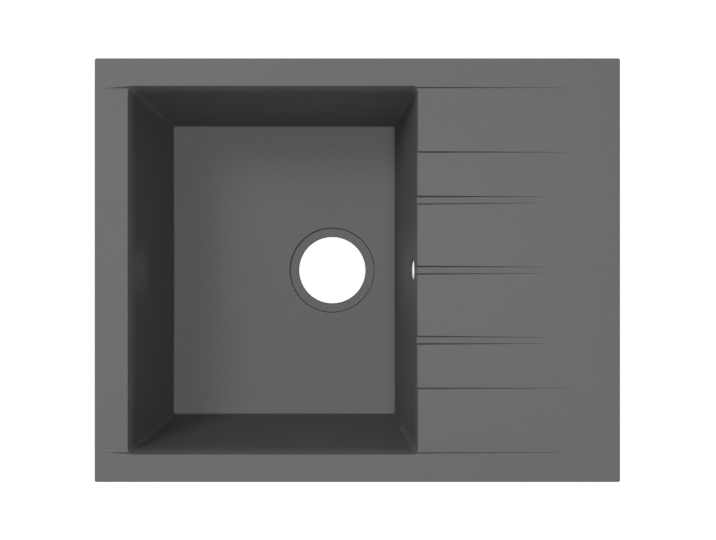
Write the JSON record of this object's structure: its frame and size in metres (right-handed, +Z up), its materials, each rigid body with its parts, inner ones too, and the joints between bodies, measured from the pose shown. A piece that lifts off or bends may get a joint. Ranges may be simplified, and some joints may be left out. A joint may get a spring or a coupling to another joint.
{
  "type": "kitchen sink with drainboard",
  "caption": "Inset kitchen sink cast in granite composite: one deep bowl with a round drain and overflow hole, a stepped drainboard with grooves, a raised rim, sealing tape and screw clamps.",
  "frame": {"origin": "middle of the sink's outline, at the height of the worktop's surface that the rim rests on", "axes": "+X to the drainboard, +Y to the back, +Z up"},
  "size_m": [0.62, 0.5, 0.208],
  "materials": {
    "granite_composite": "fine-grained matt grey quartz and acrylic composite",
    "seal_foam": "closed-cell foam tape, dark grey",
    "insert_brass": "turned brass",
    "clamp_steel": "zinc-plated pressed steel",
    "screw_steel": "zinc-plated steel"
  },
  "bodies": {
    "root": {"sink_moulding": "granite_composite", "rim_seal": "seal_foam", "threaded_inserts": "insert_brass"},
    "washer_1": {"clamp_washer_1": "clamp_steel"},
    "screw_1": {"clamp_screw_1": "screw_steel"},
    "claw_1": {"clamp_claw_1": "clamp_steel"},
    "washer_2": {"clamp_washer_2": "clamp_steel"},
    "screw_2": {"clamp_screw_2": "screw_steel"},
    "claw_2": {"clamp_claw_2": "clamp_steel"},
    "washer_3": {"clamp_washer_3": "clamp_steel"},
    "screw_3": {"clamp_screw_3": "screw_steel"},
    "claw_3": {"clamp_claw_3": "clamp_steel"},
    "washer_4": {"clamp_washer_4": "clamp_steel"},
    "screw_4": {"clamp_screw_4": "screw_steel"},
    "claw_4": {"clamp_claw_4": "clamp_steel"},
    "washer_5": {"clamp_washer_5": "clamp_steel"},
    "screw_5": {"clamp_screw_5": "screw_steel"},
    "claw_5": {"clamp_claw_5": "clamp_steel"},
    "washer_6": {"clamp_washer_6": "clamp_steel"},
    "screw_6": {"clamp_screw_6": "screw_steel"},
    "claw_6": {"clamp_claw_6": "clamp_steel"},
    "washer_7": {"clamp_washer_7": "clamp_steel"},
    "screw_7": {"clamp_screw_7": "screw_steel"},
    "claw_7": {"clamp_claw_7": "clamp_steel"},
    "washer_8": {"clamp_washer_8": "clamp_steel"},
    "screw_8": {"clamp_screw_8": "screw_steel"},
    "claw_8": {"clamp_claw_8": "clamp_steel"}
  },
  "joints": [
    {"name": "clamp_lift_1", "type": "slide", "parent": "root", "child": "washer_1", "axis": [0, 0, 1], "range_m": [0, 0.013]},
    {"name": "screw_turn_1", "type": "hinge", "parent": "washer_1", "child": "screw_1", "pos_m": [-0.17, -0.23, -0.037], "axis": [0, 0, 1], "range_deg": [0, 5850]},
    {"name": "claw_swing_1", "type": "hinge", "parent": "washer_1", "child": "claw_1", "pos_m": [-0.17, -0.23, -0.037], "axis": [0, 0, 1], "range_deg": [0, 90]},
    {"name": "clamp_lift_2", "type": "slide", "parent": "root", "child": "washer_2", "axis": [0, 0, 1], "range_m": [0, 0.013]},
    {"name": "screw_turn_2", "type": "hinge", "parent": "washer_2", "child": "screw_2", "pos_m": [0.17, -0.23, -0.037], "axis": [0, 0, 1], "range_deg": [0, 5850]},
    {"name": "claw_swing_2", "type": "hinge", "parent": "washer_2", "child": "claw_2", "pos_m": [0.17, -0.23, -0.037], "axis": [0, 0, 1], "range_deg": [0, 90]},
    {"name": "clamp_lift_3", "type": "slide", "parent": "root", "child": "washer_3", "axis": [0, 0, 1], "range_m": [0, 0.013]},
    {"name": "screw_turn_3", "type": "hinge", "parent": "washer_3", "child": "screw_3", "pos_m": [0.29, -0.12, -0.037], "axis": [0, 0, 1], "range_deg": [0, 5850]},
    {"name": "claw_swing_3", "type": "hinge", "parent": "washer_3", "child": "claw_3", "pos_m": [0.29, -0.12, -0.037], "axis": [0, 0, 1], "range_deg": [0, 90]},
    {"name": "clamp_lift_4", "type": "slide", "parent": "root", "child": "washer_4", "axis": [0, 0, 1], "range_m": [0, 0.013]},
    {"name": "screw_turn_4", "type": "hinge", "parent": "washer_4", "child": "screw_4", "pos_m": [0.29, 0.12, -0.037], "axis": [0, 0, 1], "range_deg": [0, 5850]},
    {"name": "claw_swing_4", "type": "hinge", "parent": "washer_4", "child": "claw_4", "pos_m": [0.29, 0.12, -0.037], "axis": [0, 0, 1], "range_deg": [0, 90]},
    {"name": "clamp_lift_5", "type": "slide", "parent": "root", "child": "washer_5", "axis": [0, 0, 1], "range_m": [0, 0.013]},
    {"name": "screw_turn_5", "type": "hinge", "parent": "washer_5", "child": "screw_5", "pos_m": [0.17, 0.23, -0.037], "axis": [0, 0, 1], "range_deg": [0, 5850]},
    {"name": "claw_swing_5", "type": "hinge", "parent": "washer_5", "child": "claw_5", "pos_m": [0.17, 0.23, -0.037], "axis": [0, 0, 1], "range_deg": [0, 90]},
    {"name": "clamp_lift_6", "type": "slide", "parent": "root", "child": "washer_6", "axis": [0, 0, 1], "range_m": [0, 0.013]},
    {"name": "screw_turn_6", "type": "hinge", "parent": "washer_6", "child": "screw_6", "pos_m": [-0.17, 0.23, -0.037], "axis": [0, 0, 1], "range_deg": [0, 5850]},
    {"name": "claw_swing_6", "type": "hinge", "parent": "washer_6", "child": "claw_6", "pos_m": [-0.17, 0.23, -0.037], "axis": [0, 0, 1], "range_deg": [0, 90]},
    {"name": "clamp_lift_7", "type": "slide", "parent": "root", "child": "washer_7", "axis": [0, 0, 1], "range_m": [0, 0.013]},
    {"name": "screw_turn_7", "type": "hinge", "parent": "washer_7", "child": "screw_7", "pos_m": [-0.29, 0.12, -0.037], "axis": [0, 0, 1], "range_deg": [0, 5850]},
    {"name": "claw_swing_7", "type": "hinge", "parent": "washer_7", "child": "claw_7", "pos_m": [-0.29, 0.12, -0.037], "axis": [0, 0, 1], "range_deg": [0, 90]},
    {"name": "clamp_lift_8", "type": "slide", "parent": "root", "child": "washer_8", "axis": [0, 0, 1], "range_m": [0, 0.013]},
    {"name": "screw_turn_8", "type": "hinge", "parent": "washer_8", "child": "screw_8", "pos_m": [-0.29, -0.12, -0.037], "axis": [0, 0, 1], "range_deg": [0, 5850]},
    {"name": "claw_swing_8", "type": "hinge", "parent": "washer_8", "child": "claw_8", "pos_m": [-0.29, -0.12, -0.037], "axis": [0, 0, 1], "range_deg": [0, 90]}
  ],
  "couplings": [
    {"joint": "screw_turn_1", "follows": "clamp_lift_1", "rad_per_m": 7854},
    {"joint": "screw_turn_2", "follows": "clamp_lift_2", "rad_per_m": 7854},
    {"joint": "screw_turn_3", "follows": "clamp_lift_3", "rad_per_m": 7854},
    {"joint": "screw_turn_4", "follows": "clamp_lift_4", "rad_per_m": 7854},
    {"joint": "screw_turn_5", "follows": "clamp_lift_5", "rad_per_m": 7854},
    {"joint": "screw_turn_6", "follows": "clamp_lift_6", "rad_per_m": 7854},
    {"joint": "screw_turn_7", "follows": "clamp_lift_7", "rad_per_m": 7854},
    {"joint": "screw_turn_8", "follows": "clamp_lift_8", "rad_per_m": 7854}
  ]
}
